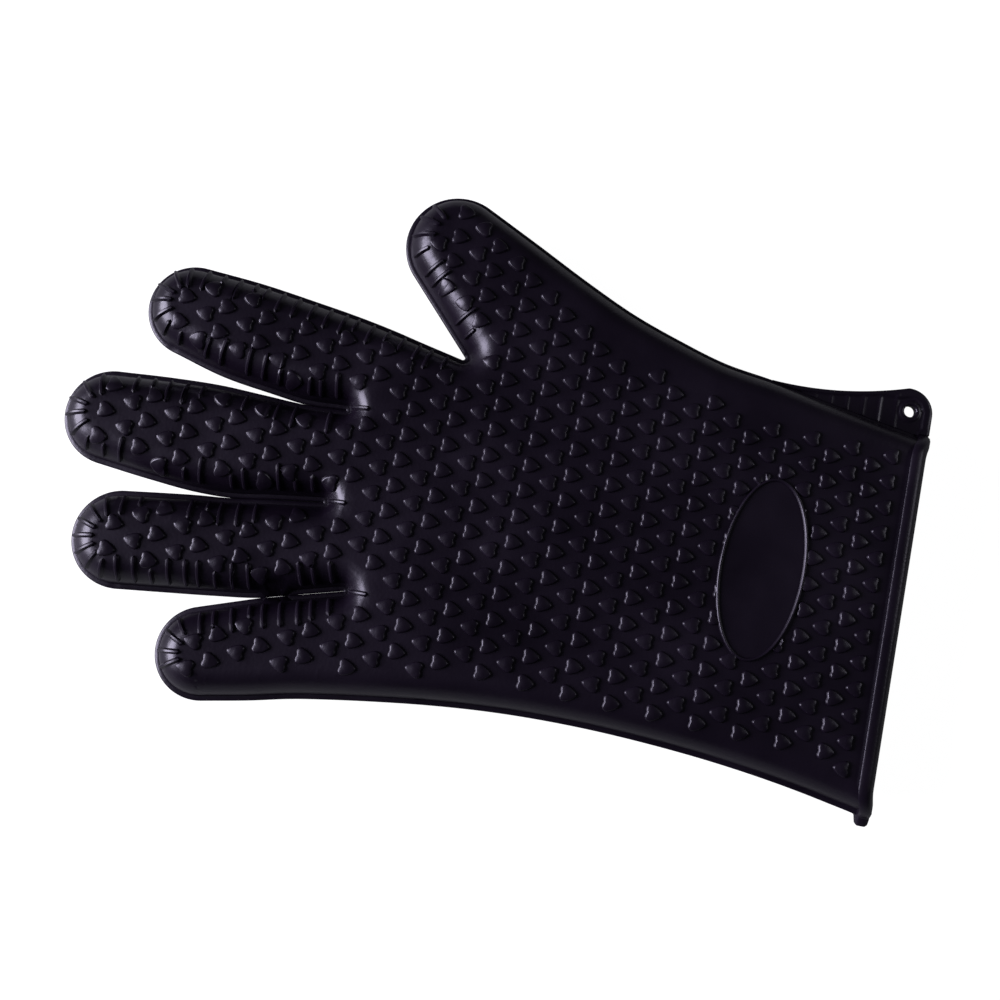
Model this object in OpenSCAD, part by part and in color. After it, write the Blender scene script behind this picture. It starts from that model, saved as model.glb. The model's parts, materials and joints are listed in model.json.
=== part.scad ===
// Heat resistant five-finger silicone glove, lying flat on its back.
// Frame: origin at the centre of the cuff mouth on the parting plane, +Y to the fingertips,
// +X to the thumb side, +Z out of the grip face.

/* [Glove body] */
// Half of the thickness of the glove lying flat
half_thick = 12; // [10:0.5:13]
// Thickness of the silicone wall
wall = 2; // [1.6:0.1:2.4]
// Width of the rounded shoulder between the edge and the flat face
shoulder = 8; // [7:0.5:9]
// Width of the thin flange along the parting plane
flange_w = 1.6; // [1.2:0.1:2]
// Thickness of that flange
flange_t = 1.6; // [1.2:0.1:2]

/* [Palm outline] */
// Distance from the centre line to the narrowest place of the little finger side
heel_x = 54.5; // [54:0.5:56]
// Distance from the centre line to the narrowest place of the thumb side
wrist_x = 65.8; // [65:0.2:67]
// Half width of the body at the mouth on the thumb side
mouth_x = 57; // [56:0.5:58]

/* [Cuff] */
// Length of the raised collar around the mouth
collar_len = 4; // [3:0.5:5]
// Height of the collar over the wall
collar_up = 1.5; // [1:0.5:2.5]
// Thickness of the hanging tab
tab_t = 3; // [2:0.5:4]
// Radius of the hanging hole
hole_r = 1.9; // [1.5:0.1:2.5]
// Radius of the tab's outer corner
tab_corner = 8; // [6:1:9]
// Place of the hanging hole across the glove
hole_x = 64.7; // [64:0.1:65.5]
// Distance of the hanging hole from the mouth
hole_y = 6.6; // [6.4:0.1:8]

/* [Label oval] */
// Half length of the plain oval, across the glove
oval_a = 28.8; // [26:0.2:30]
// Half width of the plain oval, along the glove
oval_b = 13.5; // [12:0.5:14]
// Height of its rim over the palm
oval_rim = 1; // [0.6:0.1:1.4]
// Place of the oval's centre across the glove
oval_x = 3.9; // [2:0.1:6]
// Distance of the oval's centre from the mouth
oval_y = 47.5; // [44:0.5:50]
// Turn of the oval in degrees
oval_turn = -1.5; // [-4:0.5:0]

/* [Knuckles] */
// Bend that each base and middle knuckle has room for, in degrees
knuckle_bend = 55; // [45:1:60]
// Bend that each fingertip knuckle has room for, in degrees
tip_bend = 30; // [20:1:35]
// Bend that the short little finger's base knuckle has room for, in degrees
little_base_bend = 50; // [40:1:55]
// Bend that its middle knuckle has room for, in degrees
little_middle_bend = 45; // [35:1:50]
// Bend that its fingertip knuckle has room for, in degrees
little_tip_bend = 25; // [20:1:30]
// Bend that each of the thumb's two knuckles has room for, in degrees
thumb_bend = 45; // [35:1:50]
// Half length of each soft fold on the back of the glove
fold_half = 1; // [1:0.1:1.4]

/* [Hidden] */

silicone = [0.07, 0.05, 0.10];
soft_silicone = [0.10, 0.08, 0.14];
gap = 0.05;     // clearance between neighbouring solids
far = 80;       // longer than any cut needs to be
arc_step = 20;  // degrees between the points of a section's rounded side

// A finger: root centre, root half width, tip circle centre, tip radius, how much wider it is
// halfway, how far its centre line bows there, knuckle places along Y, where it leaves the palm,
// and where its own walls begin inside the palm.
index = [[44.4, 185], 14.7, [50.6, 237.7], 14.6, 1.6, 0, [195, 215, 231], 184, 164];
middle = [[14.2, 185], 14.9, [12, 255.3], 15, 2.3, -1.4, [195, 220, 241], 185, 165];
ring = [[-16, 185], 14.4, [-25, 244], 15.4, 0.8, -0.9, [195, 217, 236], 185, 165];
little = [[-44.9, 176], 16.6, [-54.6, 211.8], 14.5, 0.3, 0, [183, 199, 212.5], 173, 153];
// Where neighbouring fingers part, and where the palm's own hollow ends.
crotches = [[29, 184], [-1.2, 185], [-27.3, 173]];
palm_end = 172;
finger_bends = [knuckle_bend, knuckle_bend, tip_bend];
little_bends = [little_base_bend, little_middle_bend, little_tip_bend];

// The thumb stands in its own frame: origin at its tip circle, +Y along the thumb.
thumb_pos = [88, 159.5];
thumb_turn = -36.85;
thumb = [[0, -66], 30.2, [0, 0], 16.9, 0, 0, [-18, -1], -28, -66];
thumb_bends = [thumb_bend, thumb_bend];

function mix(a, b, t) = a + (b - a) * t;
function clamp01(t) = min(max(t, 0), 1);
function along(f, y) = (y - f[0][1]) / (f[2][1] - f[0][1]);
function bump(f, y) = let (t = clamp01(along(f, y))) 4 * t * (1 - t);
function centre_x(f, y) =
    mix(f[0][0], f[2][0], min(along(f, y), 1)) + f[5] * bump(f, y);
function half_width(f, y) = mix(f[1], f[3], clamp01(along(f, y))) + f[4] * bump(f, y);

// Height of the body at distance d inside its edge: a quarter ellipse, then flat.
function rise(d, high, round_w) =
    high * sqrt(max(1 - pow(1 - clamp01(d / round_w), 2), 0));

// One section of the body: [centre x, y, half width, half height].
function straight_sections(f, inset) = [
    for (y = [f[8], f[7], each [for (t = [0.25:0.25:1]) mix(f[7], f[2][1], t)]])
        [centre_x(f, y), y, half_width(f, y) - inset, half_thick - (inset > flange_w ? wall : 0)]
];
function tip_sections(f, inset) = let (
    r = f[3] - inset,
    high = half_thick - (inset > flange_w ? wall : 0),
    round_w = shoulder - (inset > flange_w ? wall : 0)
) [
    for (a = [18, 36, 52, 66, 78, 86])
        [f[2][0], f[2][1] + r * sin(a), r * cos(a), rise(r * (1 - sin(a)), high, round_w)]
];
function stall_sections(f, inset) =
    concat(straight_sections(f, inset), tip_sections(f, inset));

// The palm's two sides are shallow parabolas around their narrowest places. The thumb side
// meets the tab at tab_end, passes under the thumb's root and rises to the index finger.
heel_y = 95;
heel_curve = 0.00117;
wrist_y = 46;
wrist_curve = 0.0044;
tab_end = 52;
thumb_start = 84;
thumb_crotch = [52, 150];
index_side = 57.5;
function heel_edge(y) = -heel_x - heel_curve * pow(y - heel_y, 2);
function wrist_edge(y) = wrist_x + wrist_curve * pow(y - wrist_y, 2);
function thumb_side(y) =
    y < tab_end ? mix(mouth_x, wrist_edge(tab_end), y / tab_end)
    : y < thumb_start ? wrist_edge(y)
    : y < thumb_crotch[1] ? mix(wrist_edge(thumb_start), thumb_crotch[0],
                                (y - thumb_start) / (thumb_crotch[1] - thumb_start))
    : mix(thumb_crotch[0], index_side, (y - thumb_crotch[1]) / (index[0][1] - thumb_crotch[1]));
function palm_sections(inset, from, to) = [
    for (y = [from, 12, 25, 38, tab_end, 68, thumb_start, 105, 128, thumb_crotch[1], to])
        let (left = heel_edge(y) + inset, right = thumb_side(y) - inset)
            [(left + right) / 2, y, (right - left) / 2, half_thick - (inset > flange_w ? wall : 0)]
];

// Rounded side, flat face, rounded side: the outline of one section.
function profile(w, high, round_w) = let (r = min(w, round_w)) [
    for (a = [-90:arc_step:90]) [w - r + r * cos(a), high * sin(a)],
    for (a = [90:arc_step:270]) [r - w + r * cos(a), high * sin(a)]
];

// A section is a single flat face. A hull joins it to the next one.
module section(s, round_w) {
    ring = [for (p = profile(s[2], s[3], round_w)) [s[0] + p[0], s[1], p[1]]];
    polyhedron(ring, [[for (i = [0:len(ring) - 1]) i]]);
}

module loft(sections, round_w) {
    for (i = [0:len(sections) - 2])
        hull() {
            section(sections[i], round_w);
            section(sections[i + 1], round_w);
        }
}

module fin(sections) {
    linear_extrude(flange_t, center = true)
        polygon(concat(
            [for (s = sections) [s[0] - s[2], s[1]]],
            [for (i = [len(sections) - 1:-1:0]) [sections[i][0] + sections[i][2], sections[i][1]]]
        ));
}

module stall_outside(f) {
    loft(stall_sections(f, flange_w), shoulder);
    fin(stall_sections(f, 0));
}

module stall_inside(f) {
    loft(stall_sections(f, flange_w + wall), shoulder - wall);
}

// The part of a stall between two knuckles. Its ends lean back on the grip side, so that the
// stall can turn by half of each bend before it meets the middle of the knuckle.
module between(from, from_bend, to, to_bend, off) {
    high = half_thick + 4;
    lean_from = high * tan(from_bend / 2 + 1);
    lean_to = high * tan(to_bend / 2 + 1);
    rotate([90, 0, 90])
        linear_extrude(2 * far, center = true)
            polygon([
                [from + off, -high], [to - off, -high], [to - off, 0],
                [to - off - lean_to, high], [from + off + lean_from, high], [from + off, 0]
            ]);
}

module stall(f, bends, i) {
    last = len(f[6]) - 1;
    to = i < last ? f[6][i + 1] : f[2][1] + far;
    color(silicone)
        intersection() {
            difference() {
                stall_outside(f);
                stall_inside(f);
            }
            between(f[6][i], bends[i], to, i < last ? bends[i + 1] : 0, fold_half);
        }
}

// The soft band that folds on the grip side and stretches on the back.
module fold(f, bends, i) {
    color(soft_silicone)
        intersection() {
            difference() {
                stall_outside(f);
                stall_inside(f);
            }
            difference() {
                translate([0, f[6][i], 0])
                    cube([2 * far, 40, 2 * far], center = true);
                between(f[6][i] - far, 0, f[6][i], bends[i], fold_half - gap);
                between(f[6][i], bends[i], f[6][i] + far, 0, fold_half - gap);
            }
        }
}

module in_thumb_frame() {
    translate([thumb_pos[0], thumb_pos[1], 0])
        rotate([0, 0, thumb_turn])
            children();
}

// Where two fingers meet, the wall rounds over from one to the other.
module crotch(pos) {
    loft([
        [pos[0], pos[1] - 20, 5, half_thick],
        [pos[0], pos[1] - 4, 4.5, half_thick - 1],
        [pos[0], pos[1], 4, half_thick / 2]
    ], 4);
}

module root_of(f, bends) {
    intersection() {
        stall_outside(f);
        between(f[6][0] - far, 0, f[6][0], bends[0], fold_half);
    }
}

module palm_shell() {
    color(silicone)
        difference() {
            union() {
                loft(palm_sections(flange_w, collar_len + gap, palm_end), shoulder);
                fin(palm_sections(0, collar_len + 0.5, palm_end));
                for (pos = crotches)
                    crotch(pos);
                for (f = [index, middle, ring, little])
                    root_of(f, finger_bends);
                in_thumb_frame()
                    root_of(thumb, thumb_bends);
            }
            loft(palm_sections(flange_w + wall, 0, palm_end - wall), shoulder - wall);
            for (f = [index, middle, ring, little])
                stall_inside(f);
            in_thumb_frame()
                stall_inside(thumb);
        }
}

module mouth_ring(grow, long) {
    s = palm_sections(flange_w - grow, 0, palm_end)[0];
    translate([s[0], long, 0])
        rotate([90, 0, 0])
            linear_extrude(long)
                polygon(profile(s[2], half_thick + grow, shoulder + grow));
}

module cuff_collar() {
    color(silicone)
        difference() {
            mouth_ring(collar_up, collar_len);
            translate([0, -1, 0])
                mouth_ring(-wall, collar_len + 2);
        }
}

module palm_plan(grow) {
    s = palm_sections(-grow, -2, palm_end);
    polygon(concat(
        [for (p = s) [p[0] - p[2], p[1]]],
        [for (i = [len(s) - 1:-1:0]) [s[i][0] + s[i][2], s[i][1]]]
    ));
}

module hang_tab() {
    collar_end = mouth_x - flange_w + collar_up + gap;
    color(silicone)
        difference() {
            linear_extrude(tab_t, center = true)
                difference() {
                    polygon(concat(
                        [for (y = [tab_end:-6:10]) [wrist_edge(y) - gap, y]],
                        [for (a = [15:-15:-90])
                            [wrist_edge(tab_corner) - tab_corner, tab_corner]
                            + tab_corner * [cos(a), sin(a)]],
                        [[mouth_x - 4, 0]]
                    ));
                    palm_plan(gap);
                    translate([0, -1])
                        square([collar_end, collar_len + 1 + 2 * gap]);
                }
            translate([hole_x, hole_y, -tab_t])
                cylinder(r = hole_r, h = 2 * tab_t, $fn = 48);
        }
}
function ellipse(a, b) = [for (t = [0:7.5:352.5]) [a * cos(t), b * sin(t)]];

module label_panel() {
    color(soft_silicone)
        translate([oval_x, oval_y, half_thick + gap])
            rotate([0, 0, oval_turn]) {
                linear_extrude(oval_rim / 2)
                    polygon(ellipse(oval_a, oval_b));
                linear_extrude(oval_rim)
                    difference() {
                        polygon(ellipse(oval_a, oval_b));
                        polygon(ellipse(oval_a - 1, oval_b - 1));
                    }
            }
}
palm_shell();
cuff_collar();
hang_tab();
label_panel();
stall(index, finger_bends, 0);  // index_base_stall
stall(index, finger_bends, 1);  // index_middle_stall
stall(index, finger_bends, 2);  // index_tip_stall
stall(middle, finger_bends, 0);  // middle_base_stall
stall(middle, finger_bends, 1);  // middle_middle_stall
stall(middle, finger_bends, 2);  // middle_tip_stall
stall(ring, finger_bends, 0);  // ring_base_stall
stall(ring, finger_bends, 1);  // ring_middle_stall
stall(ring, finger_bends, 2);  // ring_tip_stall
stall(little, little_bends, 0);  // little_base_stall
stall(little, little_bends, 1);  // little_middle_stall
stall(little, little_bends, 2);  // little_tip_stall
in_thumb_frame() stall(thumb, thumb_bends, 0);  // thumb_base_stall
in_thumb_frame() stall(thumb, thumb_bends, 1);  // thumb_tip_stall
fold(index, finger_bends, 0);  // index_base_fold
fold(index, finger_bends, 1);  // index_middle_fold
fold(index, finger_bends, 2);  // index_tip_fold
fold(middle, finger_bends, 0);  // middle_base_fold
fold(middle, finger_bends, 1);  // middle_middle_fold
fold(middle, finger_bends, 2);  // middle_tip_fold
fold(ring, finger_bends, 0);  // ring_base_fold
fold(ring, finger_bends, 1);  // ring_middle_fold
fold(ring, finger_bends, 2);  // ring_tip_fold
fold(little, little_bends, 0);  // little_base_fold
fold(little, little_bends, 1);  // little_middle_fold
fold(little, little_bends, 2);  // little_tip_fold
in_thumb_frame() fold(thumb, thumb_bends, 0);  // thumb_base_fold
in_thumb_frame() fold(thumb, thumb_bends, 1);  // thumb_tip_fold
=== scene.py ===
import json
import math

import bmesh
import bpy
import numpy as np
from mathutils import Matrix, Vector
from mathutils.geometry import delaunay_2d_cdt


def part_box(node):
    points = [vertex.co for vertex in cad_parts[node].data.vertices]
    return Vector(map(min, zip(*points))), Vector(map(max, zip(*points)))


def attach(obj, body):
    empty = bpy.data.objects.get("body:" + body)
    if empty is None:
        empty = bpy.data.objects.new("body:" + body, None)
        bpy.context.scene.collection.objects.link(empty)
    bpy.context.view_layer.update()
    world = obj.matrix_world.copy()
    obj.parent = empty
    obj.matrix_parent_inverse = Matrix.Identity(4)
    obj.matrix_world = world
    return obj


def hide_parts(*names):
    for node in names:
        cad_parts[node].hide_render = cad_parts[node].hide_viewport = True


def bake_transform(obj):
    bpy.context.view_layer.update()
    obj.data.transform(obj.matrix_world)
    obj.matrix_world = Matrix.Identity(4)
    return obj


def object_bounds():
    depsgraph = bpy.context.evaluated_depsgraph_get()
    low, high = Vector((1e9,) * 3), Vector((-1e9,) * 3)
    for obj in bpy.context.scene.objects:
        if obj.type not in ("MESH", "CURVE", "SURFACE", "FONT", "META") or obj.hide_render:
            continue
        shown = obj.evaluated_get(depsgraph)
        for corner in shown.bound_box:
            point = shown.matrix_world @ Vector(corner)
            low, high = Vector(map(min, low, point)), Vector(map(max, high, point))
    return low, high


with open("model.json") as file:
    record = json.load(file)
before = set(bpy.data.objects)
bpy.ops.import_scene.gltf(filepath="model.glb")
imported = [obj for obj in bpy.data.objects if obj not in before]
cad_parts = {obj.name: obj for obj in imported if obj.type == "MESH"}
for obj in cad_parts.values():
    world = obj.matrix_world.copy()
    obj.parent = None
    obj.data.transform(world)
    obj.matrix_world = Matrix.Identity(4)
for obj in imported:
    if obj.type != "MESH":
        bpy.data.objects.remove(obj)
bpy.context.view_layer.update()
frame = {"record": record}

# Lengths in this script are millimetres in the row frame: +Y to the fingertips, +X to the thumb side,
# +Z out of the grip face. Meshes are scaled to metres when they are made.
MM = 0.001

# ---------------------------------------------------------------- driving sizes
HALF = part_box("index_tip_stall")[1].z / MM          # half thickness of the body
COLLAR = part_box("cuff_collar")[1].y / MM            # length of the collar round the mouth
COLLAR_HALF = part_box("cuff_collar")[1].z / MM       # its half height
WALL = 2.0
SHOULDER = 8.0
FLANGE_W = 1.6
FLANGE_HALF = 0.8
RIM_HALF = 0.45                                      # half thickness of the flange's very edge
RIM_ROUND = 0.35
NUB_HIGH = 0.85
RIB_HIGH = 1.0
STEP = 1.3                                           # spacing of points along the outline
SLIT = 0.04                                          # radius where two fingers part

# Side lines of the outline as (y, x) knots of a smooth curve. Two fingers that touch share a slit.
WRIST = [(-10, 55.4), (4, 57.8), (20, 60.4), (35, 62.9), (52, 66.0), (68, 68.3), (84, 72.8),
         (100, 78.3), (116, 85.5), (134, 94.4), (152.17, 103.23)]
HEEL = [(-10, -67.6), (10, -63.0), (30, -59.5), (50, -57.0), (70, -55.4), (95, -54.5), (120, -55.1),
        (140, -56.8), (158, -59.1), (170, -60.9), (182, -63.0), (194, -65.8), (209, -68.83)]
INDEX_RIGHT = [(151.15, 52.4), (164, 55.1), (176, 57.7), (188, 59.8), (200, 61.5), (218, 63.8),
               (236.4, 65.15)]
INDEX_LEFT = [(184.05, 29.04), (195.5, 28.29), (209, 29.7), (224, 31.8), (242, 36.65)]
MIDDLE_RIGHT = [(184.05, 28.96), (195.5, 28.21), (210, 28.6), (224, 29.0), (240, 28.3), (256.2, 26.97)]
MIDDLE_LEFT = [(185.05, -1.16), (200, -3.31), (214.5, -5.56), (224, -5.8), (240, -4.7), (256.5, -2.95)]
RING_RIGHT = [(185.05, -1.24), (200, -3.39), (214.5, -5.7), (224, -6.7), (236, -8.3), (246.9, -9.88)]
RING_LEFT = [(173.05, -27.26), (185, -30.61), (198, -34.36), (212, -36.5), (227, -38.4), (242.8, -40.35)]
LITTLE_RIGHT = [(173.05, -27.34), (185, -30.69), (198, -34.44), (206, -37.2), (217, -41.06)]

# Fingertip circles: centre, radius, and the angles where the two sides leave them.
INDEX_TIP = ((50.6, 237.7), 14.6, -5, 163)
MIDDLE_TIP = ((12.0, 255.3), 15.0, 3.4, 175.3)
RING_TIP = ((-25.0, 244.0), 15.4, 11, 184.6)
LITTLE_TIP = ((-54.6, 211.8), 14.5, 21, 191)
THUMB_TIP = ((88.0, 159.5), 16.9, -25.7, 132.2)
THUMB_WEB = ((53.09, 151.02), 0.7, -48, -191)        # the rounded end of the gap beside the thumb
THUMB_DIR = (0.5997, 0.8002)

# Where the silicone bends at each knuckle: along y on a finger, and from the tip circle's centre
# along THUMB_DIR on the thumb. A piece begins where its bend begins.
BENDS = {
    "index": [(185.2, 205.5), (205.5, 224.5), (224.5, 237.5)],
    "middle": [(186, 206), (207, 232), (232.5, 249.5)],
    "ring": [(186.4, 205), (206, 228), (228, 244)],
    "little": [(174.5, 191.5), (191.5, 206.5), (207, 218)],
    "thumb": [(-27.2, -9), (-9, 7)],
}
SEGMENTS = ["base", "middle", "tip"]
THUMB_CUTS = ((22.9, 24.5), (19.0, 20.5))            # reach of the thumb's cuts to each side
CUT_SPARE = 0.03                                     # a finger's cut runs this far past the outline


# ---------------------------------------------------------------- the outline
def smooth_x(knots, y):
    """x at each y of a smooth curve through (y, x) knots."""
    ys, xs = np.array(knots, float).T
    slope = np.gradient(xs, ys)
    i = np.clip(np.searchsorted(ys, y) - 1, 0, len(ys) - 2)
    h = ys[i + 1] - ys[i]
    t = (y - ys[i]) / h
    return (xs[i] * (1 + 2 * t) * (1 - t) ** 2 + slope[i] * h * t * (1 - t) ** 2
            + xs[i + 1] * t * t * (3 - 2 * t) + slope[i + 1] * h * t * t * (t - 1))


def side(knots, up, tag):
    """Points along one side line, upwards or downwards."""
    y = np.linspace(knots[0][0], knots[-1][0], int((knots[-1][0] - knots[0][0]) / STEP) + 2)
    if not up:
        y = y[::-1]
    return [(x, v, tag) for x, v in zip(smooth_x(knots, y), y)]


def arc(circle, tag, count=None):
    """Points round an arc given as centre, radius and the two angles."""
    (cx, cy), r, a0, a1 = circle
    count = count or int(abs(math.radians(a1 - a0)) * r / STEP) + 2
    angles = np.radians(np.linspace(a0, a1, count))
    return [(cx + r * math.cos(a), cy + r * math.sin(a), tag) for a in angles]


SLIT_ENDS = [(29.0, 184.05), (-1.2, 185.05), (-27.3, 173.05)]


def slit(x, y, count=5):
    """The narrow round end of the slit between two fingers."""
    return arc(((x, y), SLIT, 0, -180), "crotch", count)


def straight(p, q, tag):
    """Points between p and q, without the two ends."""
    count = int(math.dist(p, q) / STEP) + 1
    return [(p[0] + (q[0] - p[0]) * t, p[1] + (q[1] - p[1]) * t, tag)
            for t in np.linspace(0, 1, count)[1:-1]]


def make_outline():
    """The whole outline from the wrist's thumb side round to its little finger side, with tags."""
    thumb = arc(THUMB_TIP, "thumb_tip")
    web = arc(THUMB_WEB, "crotch", 11)
    runs = [
        side(WRIST, True, "wrist"), thumb, straight(thumb[-1][:2], web[0][:2], "thumb_inner"), web,
        side(INDEX_RIGHT, True, "index_right"), arc(INDEX_TIP, "index_tip"),
        side(INDEX_LEFT, False, "index_left"), slit(*SLIT_ENDS[0]),
        side(MIDDLE_RIGHT, True, "middle_right"), arc(MIDDLE_TIP, "middle_tip"),
        side(MIDDLE_LEFT, False, "middle_left"), slit(*SLIT_ENDS[1]),
        side(RING_RIGHT, True, "ring_right"), arc(RING_TIP, "ring_tip"),
        side(RING_LEFT, False, "ring_left"), slit(*SLIT_ENDS[2]),
        side(LITTLE_RIGHT, True, "little_right"), arc(LITTLE_TIP, "little_tip"),
        side(HEEL, False, "heel"),
    ]
    points, tags = [], []
    for run in runs:
        for x, y, tag in run:
            if not points or math.dist(points[-1], (x, y)) > 0.008:
                points.append((x, y))
                tags.append(tag)
    return np.array(points), tags


EDGE, EDGE_TAGS = make_outline()
_step = np.diff(EDGE, axis=0)
_step /= np.linalg.norm(_step, axis=1)[:, None]
_tangent = np.vstack([_step[:1], _step[:-1] + _step[1:], _step[-1:]])
_tangent /= np.linalg.norm(_tangent, axis=1)[:, None]
EDGE_IN = np.column_stack([-_tangent[:, 1], _tangent[:, 0]])   # inward normals


def nearest(points, chunk=3000):
    """Distance of each point from the outline, the unit direction away from it, and the nearest sample."""
    a, b = EDGE[:-1], EDGE[1:]
    ab = b - a
    length2 = (ab * ab).sum(1)
    out_d, out_g, out_i = [], [], []
    for k in range(0, len(points), chunk):
        p = points[k:k + chunk]
        ap = p[:, None] - a[None]
        t = np.clip((ap * ab).sum(2) / length2, 0, 1)
        away = ap - t[..., None] * ab
        d2 = (away * away).sum(2)
        i = d2.argmin(1)
        rows = np.arange(len(p))
        d = np.sqrt(d2[rows, i])
        g = away[rows, i] / np.maximum(d, 1e-9)[:, None]
        flat = d < 1e-6
        g[flat] = EDGE_IN[i[flat]]
        out_d.append(d)
        out_g.append(g)
        out_i.append(i + (t[rows, i] > 0.5))
    return np.concatenate(out_d), np.concatenate(out_g), np.concatenate(out_i)


def inside(points, polygon, chunk=4000):
    """True for each point inside the polygon."""
    a = np.asarray(polygon, float)
    b = np.roll(a, -1, axis=0)
    dy = b[:, 1] - a[:, 1]
    slope = (b[:, 0] - a[:, 0]) / np.where(dy == 0, 1e-12, dy)
    found = []
    for k in range(0, len(points), chunk):
        p = points[k:k + chunk]
        crosses = (a[None, :, 1] > p[:, 1, None]) != (b[None, :, 1] > p[:, 1, None])
        left = p[:, 0, None] < a[None, :, 0] + (p[:, 1, None] - a[None, :, 1]) * slope
        found.append((crosses & left).sum(1) % 2 == 1)
    return np.concatenate(found) if found else np.zeros(0, bool)


# ---------------------------------------------------------------- heights over the parting plane
MOUTH_BACK, MOUTH_OUT, LEAN_FADE = 3.9, 0.8, 9.0
FILLET = 1.45
FIRST_ANGLE = 8
_first_d = FLANGE_W + SHOULDER * (1 - math.cos(math.radians(FIRST_ANGLE)))
_first_z = HALF * math.sin(math.radians(FIRST_ANGLE))


def outer_height(d):
    """Height of the outer skin at a distance inside the outline."""
    t = np.clip((d - FLANGE_W) / SHOULDER, 0, 1)
    shoulder = HALF * np.sqrt(np.maximum(1 - (1 - t) ** 2, 0))
    flange = np.interp(d, [0, RIM_ROUND, FILLET, _first_d], [RIM_HALF, FLANGE_HALF, FLANGE_HALF, _first_z])
    return np.where(d >= _first_d, shoulder, flange)


INNER_START = FLANGE_W + WALL
INNER_ROUND = SHOULDER - WALL
INNER_SEAM = 0.25


def inner_height(d):
    """Height of the inner skin at a distance inside the outline."""
    t = np.clip((d - INNER_START) / INNER_ROUND, 0, 1)
    return np.maximum((HALF - WALL) * np.sqrt(np.maximum(1 - (1 - t) ** 2, 0)), INNER_SEAM)


# ---------------------------------------------------------------- nubs, ribs and the oval
ROWS = 19
ROW_FIRST = 19.1
ROW_PITCH = 13.14
ROW_SHIFT = (1.9, 0.25, 0.019)                       # sideways start of a row, as a curve of its number
ROW_TILT = math.radians(4.7) / 17                    # each row tilts a little more than the last
COLUMNS = (-10, 13)
COLUMN_PITCH = 8.14
FLIP_DROP = (5.8, 0.06)                              # how far the turned nubs sit below, and its growth
NUB_FREE_EDGE = 8.0                                  # bare strip beside the collar
NUB_FREE_TIP = 6.0                                   # nubs end this far past a fingertip's centre
NUB_FREE_SLIT = 4.4                                  # bare circle round the end of each slit's rib
OVAL = ((3.9, 47.5), 28.8, 13.5, math.radians(-1.5))
NUB_MARGIN = {"wrist": 5, "thumb_tip": 6.3, "thumb_inner": 5.8, "crotch": 6.5, "index_right": 7.5,
              "index_left": 4.4, "middle_left": 4.4, "ring_left": 8, "heel": 9.2}
OTHER_MARGIN = 5.5
# The nubs end along this line beside the smooth thumb side, as (y, x) points.
THUMB_LIMIT = [(0, 48.8), (62, 48.8), (72, 54), (92, 57.6), (104, 59), (146, 91.5), (162, 102)]


# Half of a heart nub's outline, from its tip round one lobe to the notch.
HEART_TIP, HEART_NOTCH = (0, -2.85), (0, 2.15)
HEART_SIDE = [(0.6, -2.6), (1.3, -1.85), (2.0, -0.75), (2.5, 0.45), (2.6, 1.4), (2.2, 2.15),
              (1.45, 2.5), (0.65, 2.4)]


def heart(inset):
    """The outline of a heart nub, tip down, drawn in by inset."""
    mirrored = [(-x, y) for x, y in reversed(HEART_SIDE)]
    loop = np.array([HEART_TIP] + HEART_SIDE + [HEART_NOTCH] + mirrored, float)
    along = np.roll(loop, -1, axis=0) - np.roll(loop, 1, axis=0)
    along /= np.linalg.norm(along, axis=1)[:, None]
    return loop + np.column_stack([-along[:, 1], along[:, 0]]) * inset


def turned(points, angle, at):
    """Points turned by an angle and then moved."""
    c, s = math.cos(angle), math.sin(angle)
    return points @ np.array([[c, s], [-s, c]]) + np.array(at)


def oval_loop(inset, count=96):
    """Points round the label oval, drawn in by inset."""
    centre, a, b, turn = OVAL
    t = np.linspace(0, 2 * math.pi, count, endpoint=False)
    return turned(np.column_stack([(a - inset) * np.cos(t), (b - inset) * np.sin(t)]), turn, centre)


def in_oval(points, inset):
    """True for each point in the label oval drawn in by inset."""
    centre, a, b, turn = OVAL
    p = turned(points - np.array(centre), -turn, (0, 0))
    return (p[:, 0] / (a - inset)) ** 2 + (p[:, 1] / (b - inset)) ** 2 <= 1.0001


def tip_excess(p):
    """How far a point lies past the middle of the fingertip it belongs to."""
    if p[0] > 60 and p[1] < 180:
        rel = np.array(p) - np.array(THUMB_TIP[0])
        return rel @ np.array(THUMB_DIR) - 1
    tips = (INDEX_TIP, MIDDLE_TIP, RING_TIP, LITTLE_TIP)
    (_, tip_y), _, _, _ = min(tips, key=lambda tip: abs(tip[0][0] - p[0]))
    return p[1] - tip_y


def nub_places():
    """Place and turn of every heart nub."""
    places = []
    for row in range(ROWS):
        tilt = ROW_TILT * row
        x0 = ROW_SHIFT[0] + ROW_SHIFT[1] * row + ROW_SHIFT[2] * row * row
        for column in range(*COLUMNS):
            for flip in (0, 1):
                x = x0 + COLUMN_PITCH * (column + flip / 2)
                drop = flip * (FLIP_DROP[0] + FLIP_DROP[1] * row)
                y = ROW_FIRST + ROW_PITCH * row - math.tan(tilt) * x - drop
                places.append((x, y, math.pi * flip - tilt))
    points = np.array([p[:2] for p in places])
    d, _, near = nearest(points)
    keep = inside(points, EDGE)
    kept = []
    for ok, place, dist, i in zip(keep, places, d, near):
        tag = EDGE_TAGS[min(i, len(EDGE_TAGS) - 1)]
        x, y, _ = place
        if not ok or dist < NUB_MARGIN.get(tag, OTHER_MARGIN) or y < COLLAR + NUB_FREE_EDGE:
            continue
        if any(math.dist((x, y), (sx, sy - 6)) < NUB_FREE_SLIT for sx, sy in SLIT_ENDS):
            continue
        on_thumb_side = y < 165 and x > np.interp(y, *np.array(THUMB_LIMIT).T)
        if tip_excess((x, y)) > NUB_FREE_TIP or on_thumb_side:
            continue
        kept.append(place)
    return kept


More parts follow.
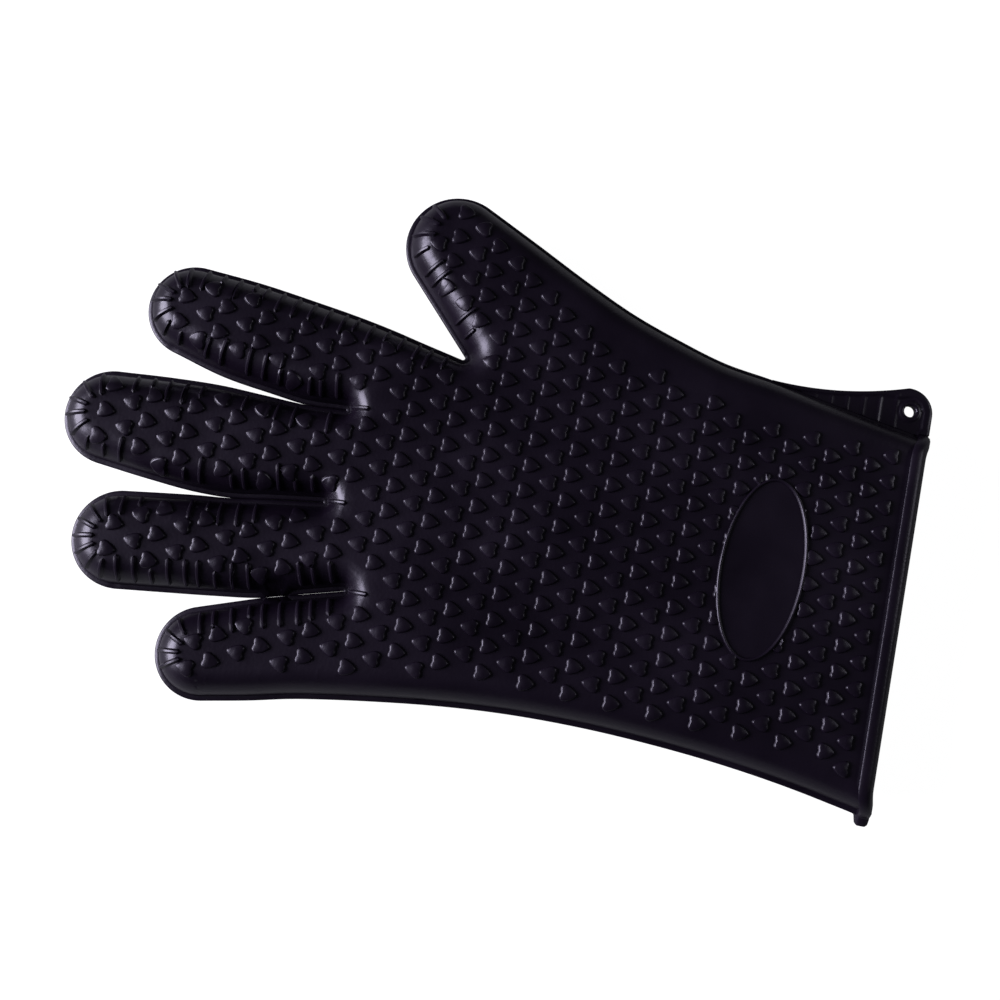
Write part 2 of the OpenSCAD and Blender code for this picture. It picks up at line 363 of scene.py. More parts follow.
RIB_FOOT, RIB_TOP = 0.85, 0.25
RIB_IN, RIB_OUT = 9.4, 3.0
RIB_PITCH, TIP_RIB_PITCH = 5.1, 7.0
RIBBED = ["thumb_inner", "index_right", "index_left", "middle_right", "middle_left", "ring_right",
          "ring_left", "little_right", "index_tip", "middle_tip", "ring_tip", "little_tip", "thumb_tip"]


def rib_loop(p, q, half, count=8):
    """A thin rounded bar from p to q."""
    p, q = np.array(p), np.array(q)
    u = (q - p) / np.linalg.norm(q - p)
    n = np.array([-u[1], u[0]])
    t = np.linspace(0, 1, count)[:, None]
    line = p + (q - p) * t
    return np.vstack([line - n * half, [q + u * half * 0.9], (line + n * half)[::-1], [p - u * half * 0.9]])


def rib_places(hearts):
    """Start and end of every side rib, shortened where a nub is in its way."""
    centres = np.array([h[:2] for h in hearts])
    length = np.concatenate([[0], np.cumsum(np.linalg.norm(np.diff(EDGE, axis=0), axis=1))])
    places = []
    for tag in RIBBED:
        run = [i for i, t in enumerate(EDGE_TAGS) if t == tag]
        total = length[run[-1]] - length[run[0]]
        count = max(int(round(total / (TIP_RIB_PITCH if tag.endswith("tip") else RIB_PITCH))), 1)
        for k in range(count):
            at = length[run[0]] + (k + 0.5) * total / count
            i = run[int(np.argmin(abs(length[run] - at)))]
            angle = math.degrees(math.atan2(-EDGE_IN[i][1], -EDGE_IN[i][0]))
            if (tag == "thumb_tip" and angle < 40) or (tag == "little_tip" and angle > 150):
                continue
            outer = EDGE[i] + EDGE_IN[i] * RIB_OUT
            for reach in np.arange(RIB_IN, 5.0, -0.6):
                inner = EDGE[i] + EDGE_IN[i] * reach
                line = outer + (inner - outer) * np.linspace(0, 1, 5)[:, None]
                clear = np.linalg.norm(line[:, None] - centres[None], axis=2).min()
                d = nearest(inner[None])[0][0]
                if clear > 3.1 and d > reach - 0.4:
                    places.append((outer, inner))
                    break
    for x, y in SLIT_ENDS:
        places.append((np.array((x, y - RIB_OUT)), np.array((x, y - RIB_IN + 1.5))))
    return places


HEARTS = nub_places()
RIBS = rib_places(HEARTS)


# ---------------------------------------------------------------- a flat plan of the skin
class Plan:
    """Points and lines of the skin seen from above. Each has a level: how far it stands off the skin."""

    def __init__(self):
        self.points, self.levels, self.edges, self.edge_levels = [], [], [], []

    def add(self, points, level=0.0, closed=False, linked=True):
        first = len(self.points)
        self.points.extend(map(tuple, points))
        self.levels.extend([level] * len(points))
        if linked:
            last = len(points) if closed else len(points) - 1
            for i in range(last):
                self.edges.append((first + i, first + (i + 1) % len(points)))
                self.edge_levels.append(level)

    def solve(self, polygon, low_y):
        out = delaunay_2d_cdt([Vector(p) for p in self.points], self.edges, [], 0, 1e-6)
        co, edges, faces, from_points, from_edges = out[:5]
        xy = np.array([(p.x, p.y) for p in co])
        level = np.full(len(xy), -1.0)
        for i, origins in enumerate(from_points):
            if origins:
                level[i] = max(self.levels[k] for k in origins)
        for (a, b), origins in zip(edges, from_edges):
            for k in origins:
                for v in (a, b):
                    if not from_points[v]:
                        level[v] = max(level[v], self.edge_levels[k])
        level = np.maximum(level, 0)
        tris = np.array([f[:] for f in faces])
        middle = xy[tris].mean(1)
        tris = tris[inside(middle, polygon) & (middle[:, 1] > low_y)]
        sides = np.sort(np.vstack([tris[:, [0, 1]], tris[:, [1, 2]], tris[:, [2, 0]]]), axis=1)
        sides, uses = np.unique(sides, axis=0, return_counts=True)
        rim = {tuple(e) for e, n in zip(sides, uses) if n == 1 and (xy[e, 1] > low_y + 1e-4).any()}
        return xy, level, tris, rim


ROW_ERROR = 0.03


def row_points(offset):
    """Runs of points on the line at this distance inside the outline, a run for each unbroken stretch."""
    points = EDGE + EDGE_IN * offset
    d = nearest(points)[0]
    good = abs(d - offset) < ROW_ERROR
    runs, run = [], []
    for p, ok in zip(points, good):
        if ok:
            run.append(p)
        elif run:
            runs.append(np.array(run))
            run = []
    if run:
        runs.append(np.array(run))
    return runs


def cut_lines():
    """Straight cuts between pieces: for each piece, the two ends of the line where it begins."""
    lines = {}
    sides = {
        "index": (INDEX_LEFT, INDEX_RIGHT, INDEX_TIP), "middle": (MIDDLE_LEFT, MIDDLE_RIGHT, MIDDLE_TIP),
        "ring": (RING_LEFT, RING_RIGHT, RING_TIP), "little": (HEEL, LITTLE_RIGHT, LITTLE_TIP),
    }
    for finger, (left, right, _) in sides.items():
        for (start, _), part in zip(BENDS[finger], SEGMENTS):
            x0 = smooth_x(left, np.array([start]))[0]
            x1 = smooth_x(right, np.array([start]))[0]
            lines[f"{finger}_{part}"] = ((x0 - CUT_SPARE, start), (x1 + CUT_SPARE, start))
    centre, along = np.array(THUMB_TIP[0]), np.array(THUMB_DIR)
    across = np.array([along[1], -along[0]])
    for (start, _), part, (left, right) in zip(BENDS["thumb"], ("base", "tip"), THUMB_CUTS):
        at = centre + along * start
        lines[f"thumb_{part}"] = (tuple(at - across * left), tuple(at + across * right))
    return lines


CUTS = cut_lines()


def owner(points):
    """Name of the piece that each point of the plan belongs to."""
    x, y = points.T
    names = np.full(len(points), "palm", dtype=object)
    between = [np.full(len(points), -1e3)]
    for right, left in ((LITTLE_RIGHT, RING_LEFT), (RING_RIGHT, MIDDLE_LEFT), (MIDDLE_RIGHT, INDEX_LEFT)):
        between.append((smooth_x(right, np.clip(y, right[0][0], right[-1][0]))
                        + smooth_x(left, np.clip(y, left[0][0], left[-1][0]))) / 2)
    between.append(np.full(len(points), 1e3))
    for finger, x0, x1 in zip(("little", "ring", "middle", "index"), between, between[1:]):
        for (start, _), part in zip(BENDS[finger], SEGMENTS):
            names[(y > start) & (x > x0) & (x < x1)] = f"{finger}_{part}"
    rel = points - np.array(THUMB_WEB[0])
    beside = rel[:, 0] * math.sin(math.radians(60)) - rel[:, 1] * math.cos(math.radians(60)) > 0
    s = (points - np.array(THUMB_TIP[0])) @ np.array(THUMB_DIR)
    for (start, _), part in zip(BENDS["thumb"], ("base", "tip")):
        names[beside & (s > start) & (y > 110)] = f"thumb_{part}"
    return names


def clear_of(points, shapes, grow):
    """True for each point that lies in none of the shapes, each grown a little."""
    ok = np.ones(len(points), bool)
    for shape in shapes:
        middle = shape.mean(0)
        big = middle + (shape - middle) * grow
        low, high = big.min(0), big.max(0)
        near = np.nonzero(((points > low) & (points < high)).all(1) & ok)[0]
        if len(near):
            ok[near[inside(points[near], big)]] = False
    return ok


SHOULDER_ANGLES = [FIRST_ANGLE, 17, 28, 40, 52, 64, 77, 90]
HEART_INSETS = [(0.0, 0.0), (0.25, 0.8), (0.5, 1.0)]


ROW_CLEAR, GRID_CLEAR = 1.08, 1.2                    # rows and grid keep off shapes grown this much


def skin_plan(with_oval):
    """The outer skin from above: rows along the outline, nubs, ribs and a loose grid between them."""
    plan = Plan()
    hearts = [h for h in HEARTS
              if not (with_oval and in_oval(turned(heart(0), h[2], h[:2]), 1.4).all())]
    if not with_oval:
        hearts = HEARTS
    shapes = [turned(heart(0), h[2], h[:2]) for h in hearts]
    shapes += [rib_loop(p, q, RIB_FOOT) for p, q in RIBS]
    plan.add(EDGE, 0.0)
    plan.add([(-90, COLLAR), (90, COLLAR)])
    rows = [RIM_ROUND, FILLET] + [FLANGE_W + SHOULDER * (1 - math.cos(math.radians(a)))
                                  for a in SHOULDER_ANGLES]
    for offset in rows:
        for run in row_points(offset):
            ok = clear_of(run, shapes, ROW_CLEAR) if offset > 2 else np.ones(len(run), bool)
            start = 0
            for i in range(len(run) + 1):
                if i == len(run) or not ok[i]:
                    if i > start:
                        plan.add(run[start:i])
                    start = i + 1
    for x, y, turn in hearts:
        for inset, level in HEART_INSETS:
            plan.add(turned(heart(inset), turn, (x, y)), level * NUB_HIGH, closed=True)
    for p, q in RIBS:
        plan.add(rib_loop(p, q, RIB_FOOT), 0.0, closed=True)
        plan.add(rib_loop(p, q, RIB_TOP), RIB_HIGH, closed=True)
    if with_oval:
        plan.add(oval_loop(0.5), 0.0, closed=True)
        plan.add(oval_loop(0.8), 0.0, closed=True)
    grid = np.array([(x + (j % 2) * 1.6, y) for j, y in enumerate(np.arange(COLLAR + 2, 268, 2.8))
                     for x in np.arange(-66, 104, 3.2)])
    grid = grid[inside(grid, EDGE)]
    d = nearest(grid)[0]
    grid = grid[d > FLANGE_W + SHOULDER + 0.8]
    grid = grid[clear_of(grid, shapes, GRID_CLEAR)]
    if with_oval:
        grid = grid[~in_oval(grid, -0.6) | in_oval(grid, 2)]
    plan.add(grid, linked=False)
    for p, q in CUTS.values():
        line = np.linspace(p, q, int(math.dist(p, q) / STEP))
        ok = clear_of(line, shapes, 1.0)
        ok[[0, -1]] = True
        plan.add(line[ok])
    xy, level, tris, rim = plan.solve(EDGE, COLLAR)
    if with_oval:
        level[in_oval(xy, 0.79)] = 0
    return xy, level, tris, rim


def inner_plan():
    """The inner skin from above, a wall's width inside the outer one."""
    plan = Plan()
    border = []
    for p in np.vstack(row_points(INNER_START)):
        if not border or (p - border[-1]) @ (p - border[-1]) > 0.2:
            border.append(p)
    plan.add(border)
    plan.add([(-90, COLLAR), (90, COLLAR)])
    for angle in (22, 45, 67, 90):
        for run in row_points(INNER_START + INNER_ROUND * (1 - math.cos(math.radians(angle)))):
            plan.add(run[::2] if len(run) > 4 else run)
    grid = np.array([(x, y) for y in np.arange(8, 268, 5.0) for x in np.arange(-62, 100, 6.0)])
    grid = grid[inside(grid, EDGE)]
    grid = grid[nearest(grid)[0] > FLANGE_W + SHOULDER + 1.5]
    plan.add(grid, linked=False)
    for p, q in CUTS.values():
        plan.add(np.linspace(p, q, int(math.dist(p, q) / STEP)))
    return plan.solve(border, COLLAR)


def on_cut(xy):
    """For each point, the name of the cut it lies on, or None."""
    names = np.full(len(xy), None, dtype=object)
    names[abs(xy[:, 1] - COLLAR) < 1e-4] = "mouth"
    for name, (p, q) in CUTS.items():
        p, q = np.array(p), np.array(q)
        u = (q - p) / np.linalg.norm(q - p)
        rel = xy - p
        off = abs(rel[:, 0] * u[1] - rel[:, 1] * u[0])
        t = rel @ u
        names[(off < 1e-4) & (t > -0.01) & (t < np.linalg.norm(q - p) + 0.01)] = name
    return names


def lift(xy, level, height):
    """Places on the skin over the points of a plan, each moved off the skin by its level."""
    d, away, _ = nearest(xy)
    z = height(d)
    e = 0.02
    slope = (height(d + e) - height(np.maximum(d - e, 0))) / (2 * e)
    slope = np.clip(slope, 0, 8)
    normal = np.column_stack([-away * slope[:, None], np.ones(len(xy))])
    normal /= np.linalg.norm(normal, axis=1)[:, None]
    move = normal * level[:, None]
    cut = on_cut(xy)
    for name in set(c for c in cut if c):
        p, q = CUTS.get(name, ((0, COLLAR), (1, COLLAR)))
        u = np.array([q[0] - p[0], q[1] - p[1], 0.0])
        u /= np.linalg.norm(u)
        n = np.array([-u[1], u[0], 0.0])
        on = cut == name
        move[on] -= (move[on] @ n)[:, None] * n
    return np.column_stack([xy, z]) + move


def mouth_lean(verts):
    """The mouth is cut back on the two faces, and reaches furthest at the parting plane."""
    verts = np.array(verts, float)
    t = np.clip((verts[:, 1] - COLLAR) / LEAN_FADE, 0, 1)
    fade = 1 - t * t * (3 - 2 * t)
    verts[:, 1] += (MOUTH_BACK * (verts[:, 2] / HALF) ** 2 - MOUTH_OUT) * fade
    return verts


# ---------------------------------------------------------------- pieces
SAME_PLACE = 2e-6                                    # metres


def new_object(name, verts, faces):
    """A smooth-shaded object from points in metres, with its normals turned outwards."""
    mesh = bpy.data.meshes.new(name)
    mesh.from_pydata([tuple(v) for v in verts], [], [tuple(f) for f in faces])
    mesh.validate()
    bm = bmesh.new()
    bm.from_mesh(mesh)
    bmesh.ops.remove_doubles(bm, verts=bm.verts, dist=SAME_PLACE)
    bmesh.ops.recalc_face_normals(bm, faces=bm.faces)
    bm.to_mesh(mesh)
    bm.free()
    mesh.polygons.foreach_set("use_smooth", [True] * len(mesh.polygons))
    mesh.set_sharp_from_angle(angle=math.radians(50))
    obj = bpy.data.objects.new(name, mesh)
    bpy.context.scene.collection.objects.link(obj)
    return obj


def border_edges(faces):
    """The edges that only one face uses."""
    count = {}
    for f in faces:
        for a, b in zip(f, f[1:] + f[:1]):
            key = (min(a, b), max(a, b))
            count[key] = count.get(key, 0) + 1
    return [e for e, n in count.items() if n == 1]


def cap(verts, edges, origin, along):
    """Flat faces between the rings of edges that lie in one upright plane."""
    ids = sorted({v for e in edges for v in e})
    place = {v: i for i, v in enumerate(ids)}
    flat = [((verts[v][0] - origin[0]) * along[0] + (verts[v][1] - origin[1]) * along[1], verts[v][2])
            for v in ids]
    local = [(place[a], place[b]) for a, b in edges]
    out = delaunay_2d_cdt([Vector(p) for p in flat], local, [], 0, 1e-7)
    back = {i: origins[0] for i, origins in enumerate(out[3]) if origins}
    tris = [tuple(f) for f in out[2] if all(v in back for v in f)]
    co = np.array([(p.x, p.y) for p in out[0]])
    middle = co[np.array(tris)].mean(1)
    a = np.array([flat[i] for i, _ in local])
    b = np.array([flat[j] for _, j in local])
    crosses = (a[None, :, 1] > middle[:, 1, None]) != (b[None, :, 1] > middle[:, 1, None])
    dy = b[:, 1] - a[:, 1]
    slope = (b[:, 0] - a[:, 0]) / np.where(dy == 0, 1e-12, dy)
    left = middle[:, 0, None] < a[None, :, 0] + (middle[:, 1, None] - a[None, :, 1]) * slope
    odd = (crosses & left).sum(1) % 2 == 1
    return [tuple(ids[back[v]] for v in f) for f, ok in zip(tris, odd) if ok]


class Weld:
    """Vertices shared by place."""

    def __init__(self):
        self.verts, self.index = [], {}

    def add(self, p):
        key = (round(p[0], 3), round(p[1], 3), round(p[2], 3))
        if key not in self.index:
            self.index[key] = len(self.verts)
            self.verts.append(tuple(p))
        return self.index[key]


def add_layer(weld, faces, layers, name):
    """Adds one piece's share of an upper and a lower skin, and the rim that joins them."""
    rims = []
    for xy, out, tris, border, names in layers:
        rim = []
        for f in tris[names == name]:
            ids = [weld.add(out[v]) for v in f]
            if len(set(ids)) == 3:
                faces.append(tuple(ids))
            for a, b in ((0, 1), (1, 2), (2, 0)):
                if (min(f[a], f[b]), max(f[a], f[b])) in border:
                    rim.append((xy[f[a]], xy[f[b]], ids[a], ids[b]))
        rims.append(rim)
    below = np.array([(p + q) / 2 for p, q, _, _ in rims[1]])
    for p, q, top_p, top_q in rims[0]:
        k = np.linalg.norm(below - (p + q) / 2, axis=1).argmin()
        p2, _, low_p, low_q = rims[1][k]
        if np.linalg.norm(p2 - p) > np.linalg.norm(p2 - q):
            low_p, low_q = low_q, low_p
        faces.append((top_p, top_q, low_q, low_p))


def glove_pieces():
    """The palm, fingers and thumb as closed hollow pieces, cut where each bend begins."""
    outer, inner = [], []
    for sign, with_oval in ((1, True), (-1, False)):
        xy, level, tris, border = skin_plan(with_oval)
        out = lift(xy, level, outer_height)
        out[:, 2] *= sign
        outer.append((xy, out, tris, border, owner(xy[tris].mean(1))))
    xy, level, tris, border = inner_plan()
    out = lift(xy, level, inner_height)
    names = owner(xy[tris].mean(1))
    for sign in (1, -1):
        inner.append((xy, out * np.array([1, 1, sign]), tris, border, names))
    made = {}
    for name in ["palm"] + list(CUTS):
        weld, faces = Weld(), []
        add_layer(weld, faces, outer, name)
        outside = len(faces)
        add_layer(weld, faces, inner, name)
        border = border_edges(faces[:outside]) + border_edges(faces[outside:])
        cut = on_cut(np.array([v[:2] for v in weld.verts]))
        for cut_name in ["mouth"] + list(CUTS):
            here = [e for e in border if cut[e[0]] == cut_name and cut[e[1]] == cut_name]
            if len(here) > 5:
                p, q = CUTS.get(cut_name, ((-90, COLLAR), (90, COLLAR)))
                u = np.array(q) - np.array(p)
                faces += cap(weld.verts, here, p, u / np.linalg.norm(u))
        verts = np.array(weld.verts)
        made[name] = new_object(name, (mouth_lean(verts) if name == "palm" else verts) * MM, faces)
    return made


pieces = glove_pieces()


# ---------------------------------------------------------------- cuff collar, hanging tab, label oval
FIN_REACH, FIN_HALF = 1.9, 1.3                       # a fin is gone this product from mid height
LITTLE_FIN, THUMB_FIN = 2.6, 1.0                     # how far the collar's fins stand out


def ring_section(x0, x1, high, round_w, fin=(0, 0)):
    """Points round a flat section: two rounded ends with fins at mid height, and two flat faces."""
    points = []
    upper = [0, 3, 6, 9, 12, 16, 22, 30, 40, 50, 60, 70, 80, 90]
    turns = np.radians([-t for t in upper[:0:-1]] + upper)
    fin_share = np.clip(FIN_REACH - abs(high * np.sin(turns)) / FIN_HALF, 0, 1)
    fin_share = fin_share * fin_share * (3 - 2 * fin_share)
    for t, f in zip(turns, fin_share):
        points.append((x1 - round_w + round_w * math.cos(t) + fin[1] * f, high * math.sin(t)))
    for x in np.linspace(x1 - round_w, x0 + round_w, 26)[1:-1]:
        points.append((x, high))
    for t, f in zip(turns, fin_share):
        points.append((x0 + round_w - round_w * math.cos(t) - fin[0] * f, -high * math.sin(t)))
    for x in np.linspace(x0 + round_w, x1 - round_w, 26)[1:-1]:
        points.append((x, -high))
    return np.array(points)


def cuff_collar():
    """The raised band round the mouth, as rings of points swept round its rounded section."""
    proud = COLLAR_HALF - HALF
    left_edge, right_edge = (smooth_x(line, np.array([1.0]))[0] for line in (HEEL, WRIST))
    left_outer, right_outer = left_edge + FLANGE_W - proud, right_edge - FLANGE_W + proud
    outer = ring_section(left_outer, right_outer, COLLAR_HALF, SHOULDER + proud, (LITTLE_FIN, THUMB_FIN))
    left_inner = left_edge + INNER_START
    right_inner = right_edge - INNER_START
    inner = ring_section(left_inner, right_inner, HALF - WALL, INNER_ROUND)
    rings = [(1.0, 0.45), (0.85, 0.0), (0.3, 0.0), (0.09, 0.28), (0.0, 0.95), (0.0, COLLAR - 0.95),
             (0.09, COLLAR - 0.28), (0.3, COLLAR), (0.7, COLLAR), (1.0, COLLAR)]
    verts, count = [], len(outer)
    for share, y in rings:
        for o, i in zip(outer, inner):
            p = o + (i - o) * share
            verts.append((p[0], y, p[1]))
    verts = mouth_lean(verts) * MM
    faces = []
    for r in range(len(rings)):
        s = (r + 1) % len(rings)
        for k in range(count):
            m = (k + 1) % count
            faces.append((r * count + k, r * count + m, s * count + m, s * count + k))
    return new_object("collar_ring", verts, faces)


TAB_END = 52
TAB_EDGE = (65.8, 0.0044, 46)                        # its outer side: x = first + second * (y - third)^2
TAB_CORNER_X, TAB_CORNER_R = 64.2, 8.0
TAB_WEB, TAB_LIP, TAB_RIB = 0.9, 0.55, 0.3           # half thickness, and what stands on it
TAB_RIBS = (11.2, 48, 5.3)                           # first, end and pitch of its ribs
TAB_EASE = 0.6                                       # run of the slopes beside lip and ribs


def hang_tab():
    """The flat corner tab: a thin web with a thicker lip, faint ribs and the hanging hole."""
    mount = next(m for m in frame["record"]["mounts"] if m["name"] == "hang_hole")
    hole = np.array(mount["pos_m"][:2]) / MM
    hole_r = mount["dims"]["r_mm"]
    corner = (TAB_CORNER_X, TAB_CORNER_R - MOUTH_OUT)
    side_x, side_curve, side_y = TAB_EDGE
    outer = [(side_x + side_curve * (y - side_y) ** 2, y) for y in np.arange(TAB_END, corner[1], -1.0)]
    outer += [(corner[0] + TAB_CORNER_R * math.cos(a), corner[1] + TAB_CORNER_R * math.sin(a))
              for a in np.radians(np.arange(0, -91, -9))]
    body = [(smooth_x(WRIST, np.array([y]))[0] - 0.3, y) for y in np.arange(-MOUTH_OUT, TAB_END, 1.3)]
    loop = np.array(outer + [(58.0, -MOUTH_OUT)] + body[1:])
    holes = np.array([hole + hole_r * np.array([math.cos(a), math.sin(a)])
                      for a in np.linspace(0, 2 * math.pi, 40, endpoint=False)])
    a, b = loop, np.roll(loop, -1, axis=0)
    edge_count = len(outer) + 1

    def edge_distance(points):
        ab = (b - a)[:edge_count]
        ap = points[:, None] - a[None, :edge_count]
        t = np.clip((ap * ab).sum(2) / (ab * ab).sum(1), 0, 1)
        return np.linalg.norm(ap - t[..., None] * ab, axis=2).min(1)

    plan = Plan()
    plan.add(loop, closed=True)
    plan.add(holes, closed=True)
    grid = np.array([(x, y) for y in np.arange(-0.5, TAB_END, 0.5) for x in np.arange(57, 73.5, 0.5)])
    grid = grid[inside(grid, loop)]
    from_hole = np.linalg.norm(grid - hole, axis=1)
    grid = grid[(from_hole > hole_r + 0.3) & (edge_distance(grid) > 0.3)]
    plan.add(grid, linked=False)
    xy, _, tris, _ = plan.solve(loop, -9)
    tris = tris[np.linalg.norm(xy[tris].mean(1) - hole, axis=1) > hole_r * 0.995]
    d = edge_distance(xy)
    r = np.linalg.norm(xy - hole, axis=1) - hole_r
    z = np.full(len(xy), TAB_WEB)
    lip_w = np.interp(xy[:, 1], [0, 10, 16], [2.6, 2.6, 1.0])
    z += TAB_LIP * np.clip(1 - (d - lip_w) / TAB_EASE, 0, 1) ** 0.7
    z = np.maximum(z, TAB_WEB + TAB_LIP * np.clip(1 - (r - 1.2) / TAB_EASE, 0, 1))
    for y in np.arange(*TAB_RIBS):
        z += (TAB_RIB * np.clip(1 - abs(xy[:, 1] - y) / TAB_EASE, 0, 1)
              * np.clip((d - 1.2) / TAB_EASE, 0, 1))
    z *= np.sqrt(np.clip(0.45 + d / 0.9, 0, 1)) * np.sqrt(np.clip(0.55 + r / 0.6, 0, 1))
    weld = Weld()
    faces = []
    for sign in (1, -1):
        for f in tris:
            faces.append(tuple(weld.add((xy[v][0], xy[v][1], sign * z[v])) for v in f))
    count = {}
    for f in tris:
        for p, q in ((f[0], f[1]), (f[1], f[2]), (f[2], f[0])):
            count[(min(p, q), max(p, q))] = count.get((min(p, q), max(p, q)), 0) + 1
    for (p, q), n in count.items():
        if n == 1:
            faces.append(tuple(weld.add((xy[v][0], xy[v][1], s * z[v]))
                               for v, s in ((p, 1), (q, 1), (q, -1), (p, -1))))
    return new_object("hanging_tab", np.array(weld.verts) * MM, faces)


def label_panel():
    """The plain oval panel: a raised rim round a sunk face, as loops drawn in from its edge."""
    loops = [(0.0, -0.05), (0.05, 0.6), (0.3, 0.95), (0.55, 1.05), (0.8, 0.95), (1.05, 0.6), (1.2, 0.32),
             (3.0, 0.3), (6.0, 0.3), (9.0, 0.3), (12.5, 0.3)]
    count = 96
    verts, faces = [], []
    for inset, z in loops:
        verts += [(x * MM, y * MM, (HALF + z) * MM) for x, y in oval_loop(inset, count)]
    for r in range(len(loops) - 1):
        for k in range(count):
            m = (k + 1) % count
            faces.append((r * count + k, r * count + m, (r + 1) * count + m, (r + 1) * count + k))
    faces.append(tuple(range((len(loops) - 1) * count, len(loops) * count)))
    faces.append(tuple(reversed(range(count))))
    return new_object("label_oval", verts, faces)


pieces["cuff_collar"] = cuff_collar()
pieces["hang_tab"] = hang_tab()
pieces["label_panel"] = label_panel()


# ---------------------------------------------------------------- silicone
CLOUD_SCALE, GRAIN_SCALE = 38, 900                   # noise of the tint and gloss, and of the grain


def silicone(name, base, rough, grain):
    """Black moulded silicone: a clouded tint and gloss with a very fine grain."""
    material = bpy.data.materials.new(name)
    material.use_nodes = True
    nodes, links = material.node_tree.nodes, material.node_tree.links
    shader = nodes["Principled BSDF"]
    where = nodes.new("ShaderNodeTexCoord")
    cloud = nodes.new("ShaderNodeTexNoise")
    cloud.inputs["Scale"].default_value = CLOUD_SCALE
    cloud.inputs["Detail"].default_value = 5
    fine = nodes.new("ShaderNodeTexNoise")
    fine.inputs["Scale"].default_value = GRAIN_SCALE
    fine.inputs["Detail"].default_value = 3
    for noise in (cloud, fine):
        links.new(where.outputs["Object"], noise.inputs["Vector"])
    tint = nodes.new("ShaderNodeValToRGB")
    tint.color_ramp.elements[0].position = 0.3
    tint.color_ramp.elements[1].position = 0.7
    tint.color_ramp.elements[0].color = (*[c * 0.75 for c in base], 1)
    tint.color_ramp.elements[1].color = (*[c * 1.3 for c in base], 1)
    links.new(cloud.outputs["Fac"], tint.inputs["Fac"])
    links.new(tint.outputs["Color"], shader.inputs["Base Color"])
    gloss = nodes.new("ShaderNodeMapRange")
    gloss.inputs["From Min"].default_value = 0.3
    gloss.inputs["From Max"].default_value = 0.7
    gloss.inputs["To Min"].default_value = rough - 0.05
    gloss.inputs["To Max"].default_value = rough + 0.07
    links.new(cloud.outputs["Fac"], gloss.inputs["Value"])
    links.new(gloss.outputs["Result"], shader.inputs["Roughness"])
    bump = nodes.new("ShaderNodeBump")
    bump.inputs["Strength"].default_value = grain
    bump.inputs["Distance"].default_value = 0.0002
    links.new(fine.outputs["Fac"], bump.inputs["Height"])
    links.new(bump.outputs["Normal"], shader.inputs["Normal"])
    shader.inputs["Specular IOR Level"].default_value = 0.36
    shader.inputs["Specular Tint"].default_value = (0.86, 0.82, 1.0, 1)
    return material


SKIN = silicone("silicone_black", (0.0036, 0.0020, 0.0056), 0.33, 0.25)
PANEL = silicone("silicone_panel", (0.0036, 0.0020, 0.0056), 0.34, 0.2)
for name, obj in pieces.items():
    obj.data.materials.append(PANEL if name == "label_panel" else SKIN)

# ---------------------------------------------------------------- bodies
for name in ("palm", "cuff_collar", "hang_tab", "label_panel"):
    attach(pieces[name], "palm")
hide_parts("palm_shell")
for name in ("cuff_collar", "hang_tab", "label_panel"):
    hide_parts(name)
for finger, windows in BENDS.items():
    parts = SEGMENTS if finger != "thumb" else ["base", "tip"]
    for part, (start, end) in zip(parts, windows):
        name = f"{finger}_{part}"
        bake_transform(pieces[name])
        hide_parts(f"{name}_stall", f"{name}_fold")

# ---------------------------------------------------------------- floor, light and camera
FLOOR_TO_CAMERA, FLOOR_TO_GLOVE = 0.98, 0.06         # the floor's glow, as seen and as reflected
SKY_TO_CAMERA, SKY_TO_GLOVE = 0.95, 0.05
low_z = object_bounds()[0].z
bpy.ops.mesh.primitive_plane_add(size=6, location=(0, 0, low_z - 0.0001))
floor = bpy.context.object
floor.name = "floor"
paper = bpy.data.materials.new("floor_paper")
paper.use_nodes = True
paper_shader = paper.node_tree.nodes["Principled BSDF"]
paper_shader.inputs["Base Color"].default_value = (0.14, 0.14, 0.15, 1)
paper_shader.inputs["Roughness"].default_value = 0.9
paper_shader.inputs["Specular IOR Level"].default_value = 0.1
paper_shader.inputs["Emission Color"].default_value = (1, 1, 1, 1)
ray = paper.node_tree.nodes.new("ShaderNodeLightPath")
glow = paper.node_tree.nodes.new("ShaderNodeMapRange")
glow.inputs["To Min"].default_value = FLOOR_TO_GLOVE
glow.inputs["To Max"].default_value = FLOOR_TO_CAMERA
paper.node_tree.links.new(ray.outputs["Is Camera Ray"], glow.inputs["Value"])
paper.node_tree.links.new(glow.outputs["Result"], paper_shader.inputs["Emission Strength"])
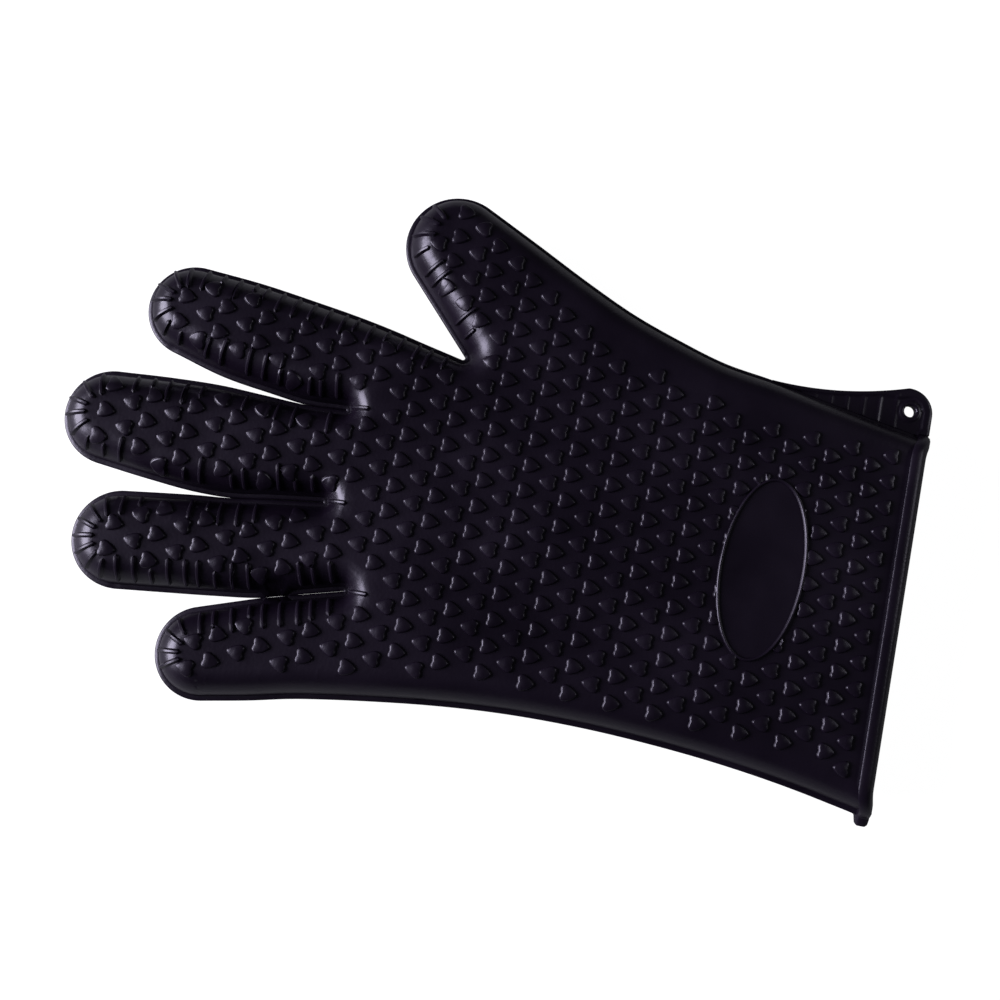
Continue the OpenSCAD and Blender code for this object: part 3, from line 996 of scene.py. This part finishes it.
floor.data.materials.append(paper)

scene = bpy.context.scene
scene.view_settings.view_transform = "Standard"
world = bpy.data.worlds.new("studio")
scene.world = world
world.use_nodes = True
world.node_tree.nodes["Background"].inputs["Color"].default_value = (0.9, 0.92, 1.0, 1)
sky_ray = world.node_tree.nodes.new("ShaderNodeLightPath")
sky_glow = world.node_tree.nodes.new("ShaderNodeMapRange")
sky_glow.inputs["To Min"].default_value = SKY_TO_GLOVE
sky_glow.inputs["To Max"].default_value = SKY_TO_CAMERA
background = world.node_tree.nodes["Background"]
world.node_tree.links.new(sky_ray.outputs["Is Camera Ray"], sky_glow.inputs["Value"])
world.node_tree.links.new(sky_glow.outputs["Result"], background.inputs["Strength"])


def soft_light(name, place, aim, size, power, colour=(1, 1, 1)):
    """A round area light aimed at a point."""
    lamp = bpy.data.lights.new(name, "AREA")
    lamp.shape = "DISK"
    lamp.size = size
    lamp.energy = power
    lamp.color = colour
    obj = bpy.data.objects.new(name, lamp)
    bpy.context.scene.collection.objects.link(obj)
    obj.location = place
    obj.rotation_euler = (Vector(aim) - Vector(place)).to_track_quat("-Z", "Y").to_euler()
    return obj


CENTRE = (0.01, 0.13, 0.0)
soft_light("key", (-0.12, 1.05, 0.4), CENTRE, 0.8, 30, (0.94, 0.92, 1.0))
soft_light("fill", (0.4, -0.9, 0.6), CENTRE, 0.6, 2.5)

camera = bpy.data.cameras.new("camera")
camera.lens = 48.15
camera.sensor_width = 36
camera_obj = bpy.data.objects.new("camera", camera)
scene.collection.objects.link(camera_obj)
eye = Vector((-42.18, 136.34, 420)) * MM
target = Vector((10.56, 130.57, 0)) * MM
forward = (target - eye).normalized()
turn = math.radians(11.114)
right = forward.cross(Vector((math.cos(turn), math.sin(turn), 0))).normalized()
up = right.cross(forward)
camera_obj.matrix_world = Matrix((
    (right.x, up.x, -forward.x, eye.x),
    (right.y, up.y, -forward.y, eye.y),
    (right.z, up.z, -forward.z, eye.z),
    (0, 0, 0, 1),
))
scene.camera = camera_obj
